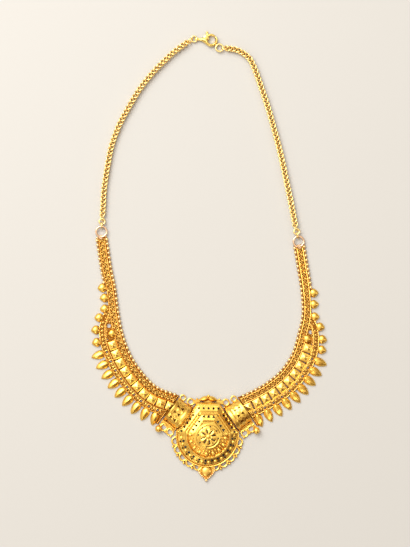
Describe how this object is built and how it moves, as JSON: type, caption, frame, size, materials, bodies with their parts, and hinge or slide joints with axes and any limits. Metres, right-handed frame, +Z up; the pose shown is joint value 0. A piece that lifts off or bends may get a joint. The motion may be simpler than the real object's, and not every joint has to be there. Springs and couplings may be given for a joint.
{
  "type": "collar necklace",
  "caption": "Gold collar necklace: two beaded, leaf-edged wings, a pierced domed centre between half-round sleeves, and a round link chain with a lever clasp.",
  "frame": {"origin": "centre of the bounding box, on the surface that the necklace lies on", "axes": "+Y from the centrepiece to the clasp, +X to the right as seen from above, +Z up from the surface"},
  "size_m": [0.1109, 0.2113, 0.007],
  "materials": {
    "gold": "polished high-carat gold, with pale bright-cut facets and darker recesses",
    "gold_chain": "polished gold wire",
    "gold_clasp": "polished cast gold"
  },
  "bodies": {
    "necklace": {"wing_left": "gold", "wing_right": "gold", "centre": "gold", "sleeve_left": "gold", "sleeve_right": "gold", "chain_left": "gold_chain", "chain_right": "gold_chain", "flat_link_left": "gold_chain", "flat_link_right": "gold_chain", "upright_link_left": "gold_chain", "upright_link_right": "gold_chain", "eyelet_ring": "gold_chain", "end_ring": "gold_chain", "clasp_hook": "gold_clasp", "clasp_rivet": "gold_clasp"},
    "lever": {"clasp_lever": "gold_clasp"}
  },
  "joints": [
    {"name": "lever_hinge", "type": "hinge", "parent": "necklace", "child": "lever", "pos_m": [-0.00148, 0.10301, 0.0012], "axis": [0, 0, -1], "range_deg": [0, 30], "stiffness_Nm_per_rad": 0.0004, "springref_deg": -11.46}
  ]
}
